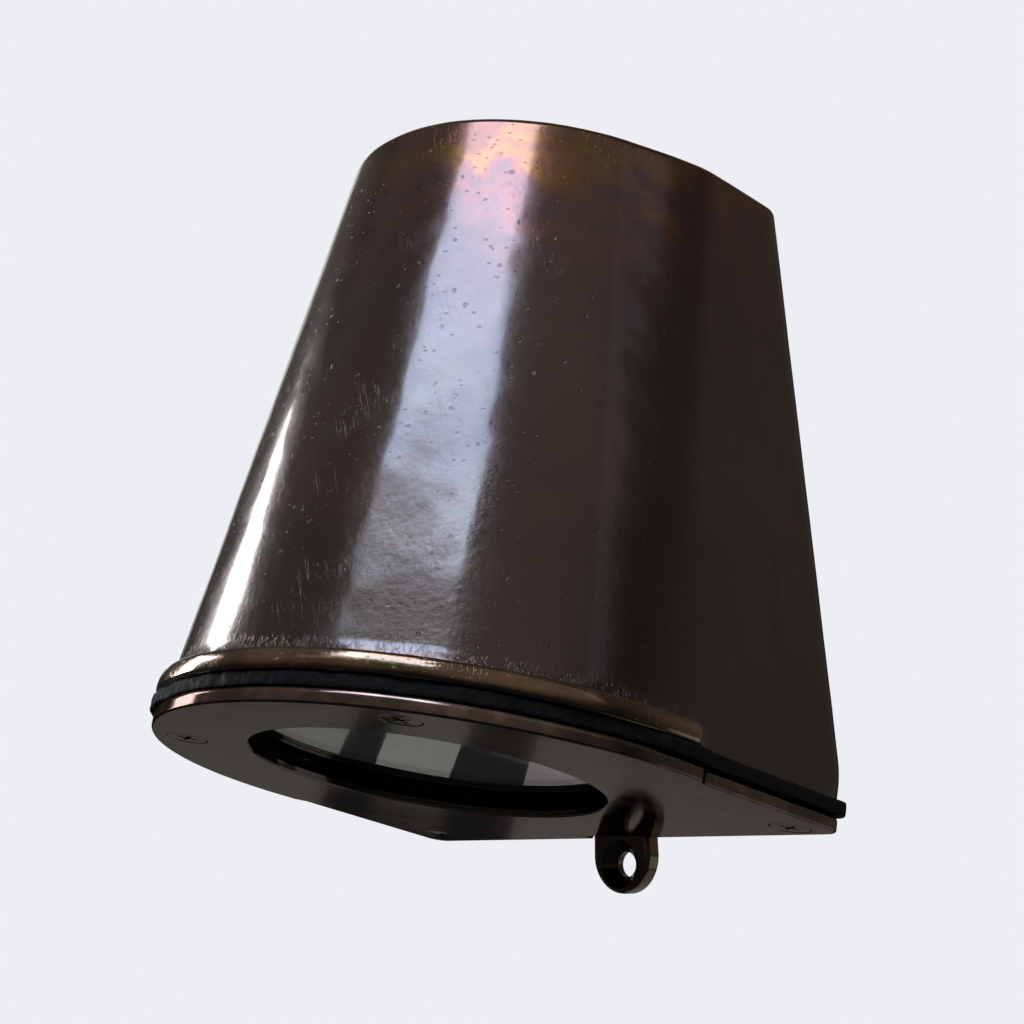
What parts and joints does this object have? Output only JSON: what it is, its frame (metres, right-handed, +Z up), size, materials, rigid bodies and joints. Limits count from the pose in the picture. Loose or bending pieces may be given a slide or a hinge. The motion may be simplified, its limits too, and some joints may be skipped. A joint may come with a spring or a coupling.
{
  "type": "wall downlight",
  "caption": "Hooded wall lamp: a tapered cast-bronze hood with wall lugs, closed below by a screwed bronze cover plate with a round glass over a twist-lock lamp.",
  "frame": {"origin": "on the hood's flat back face, which lies on the wall, at the middle of its width and about half way up the hood", "axes": "+Y into the wall, so the lamp stands out from the wall towards -Y; +Z up the wall; +X to the right of someone who faces the wall"},
  "size_m": [0.1318, 0.1157, 0.1638],
  "materials": {
    "patinated_bronze": "polished cast bronze with a dark brown patina",
    "satin_bronze": "satin-polished dark bronze",
    "black_rubber": "matt black rubber",
    "clear_glass": "clear toughened glass",
    "frosted_lens": "frosted lamp lens",
    "black_paint": "matt black paint on spun aluminium",
    "zinc_steel": "zinc-plated steel",
    "white_plastic": "white moulded plastic",
    "white_ceramic": "white glazed ceramic",
    "brass": "plain brass",
    "brown_pvc": "brown wire insulation",
    "blue_pvc": "blue wire insulation",
    "green_pvc": "green and yellow wire insulation"
  },
  "bodies": {
    "housing": {"hood": "patinated_bronze", "lampholder": "white_ceramic", "holder_bracket": "zinc_steel", "bracket_screw_1": "zinc_steel", "bracket_screw_2": "zinc_steel", "holder_screw_1": "zinc_steel", "holder_screw_2": "zinc_steel", "terminal_block": "white_plastic", "terminal_screw_1_1": "brass", "terminal_screw_1_2": "brass", "terminal_screw_2_1": "brass", "terminal_screw_2_2": "brass", "terminal_screw_3_1": "brass", "terminal_screw_3_2": "brass", "live_wire": "brown_pvc", "neutral_wire": "blue_pvc", "earth_wire": "green_pvc", "earth_washer": "brass", "earth_screw": "brass", "cable_grommet": "black_rubber"},
    "cover": {"cover_plate": "satin_bronze", "cover_gasket": "black_rubber", "cover_screw_1": "satin_bronze", "cover_screw_2": "satin_bronze", "cover_screw_3": "satin_bronze", "cover_screw_4": "satin_bronze", "lens_glass": "clear_glass", "lens_gasket": "black_rubber", "glare_cone": "black_paint", "lens_clamp_ring": "zinc_steel", "clamp_screw_1": "zinc_steel", "clamp_screw_2": "zinc_steel", "clamp_screw_3": "zinc_steel", "clamp_screw_4": "zinc_steel"},
    "lamp": {"lamp_body": "white_plastic", "lamp_face": "frosted_lens", "lamp_pin_1": "brass", "lamp_pin_2": "brass"}
  },
  "joints": [
    {"name": "cover_removal", "type": "slide", "parent": "housing", "child": "cover", "axis": [0, -0.2079, -0.9781], "range_m": [0, 0.06]},
    {"name": "lamp_twist", "type": "hinge", "parent": "housing", "child": "lamp", "pos_m": [0, -0.04788, -0.00054], "axis": [0, 0.2079, 0.9781], "range_deg": [0, 20]}
  ]
}
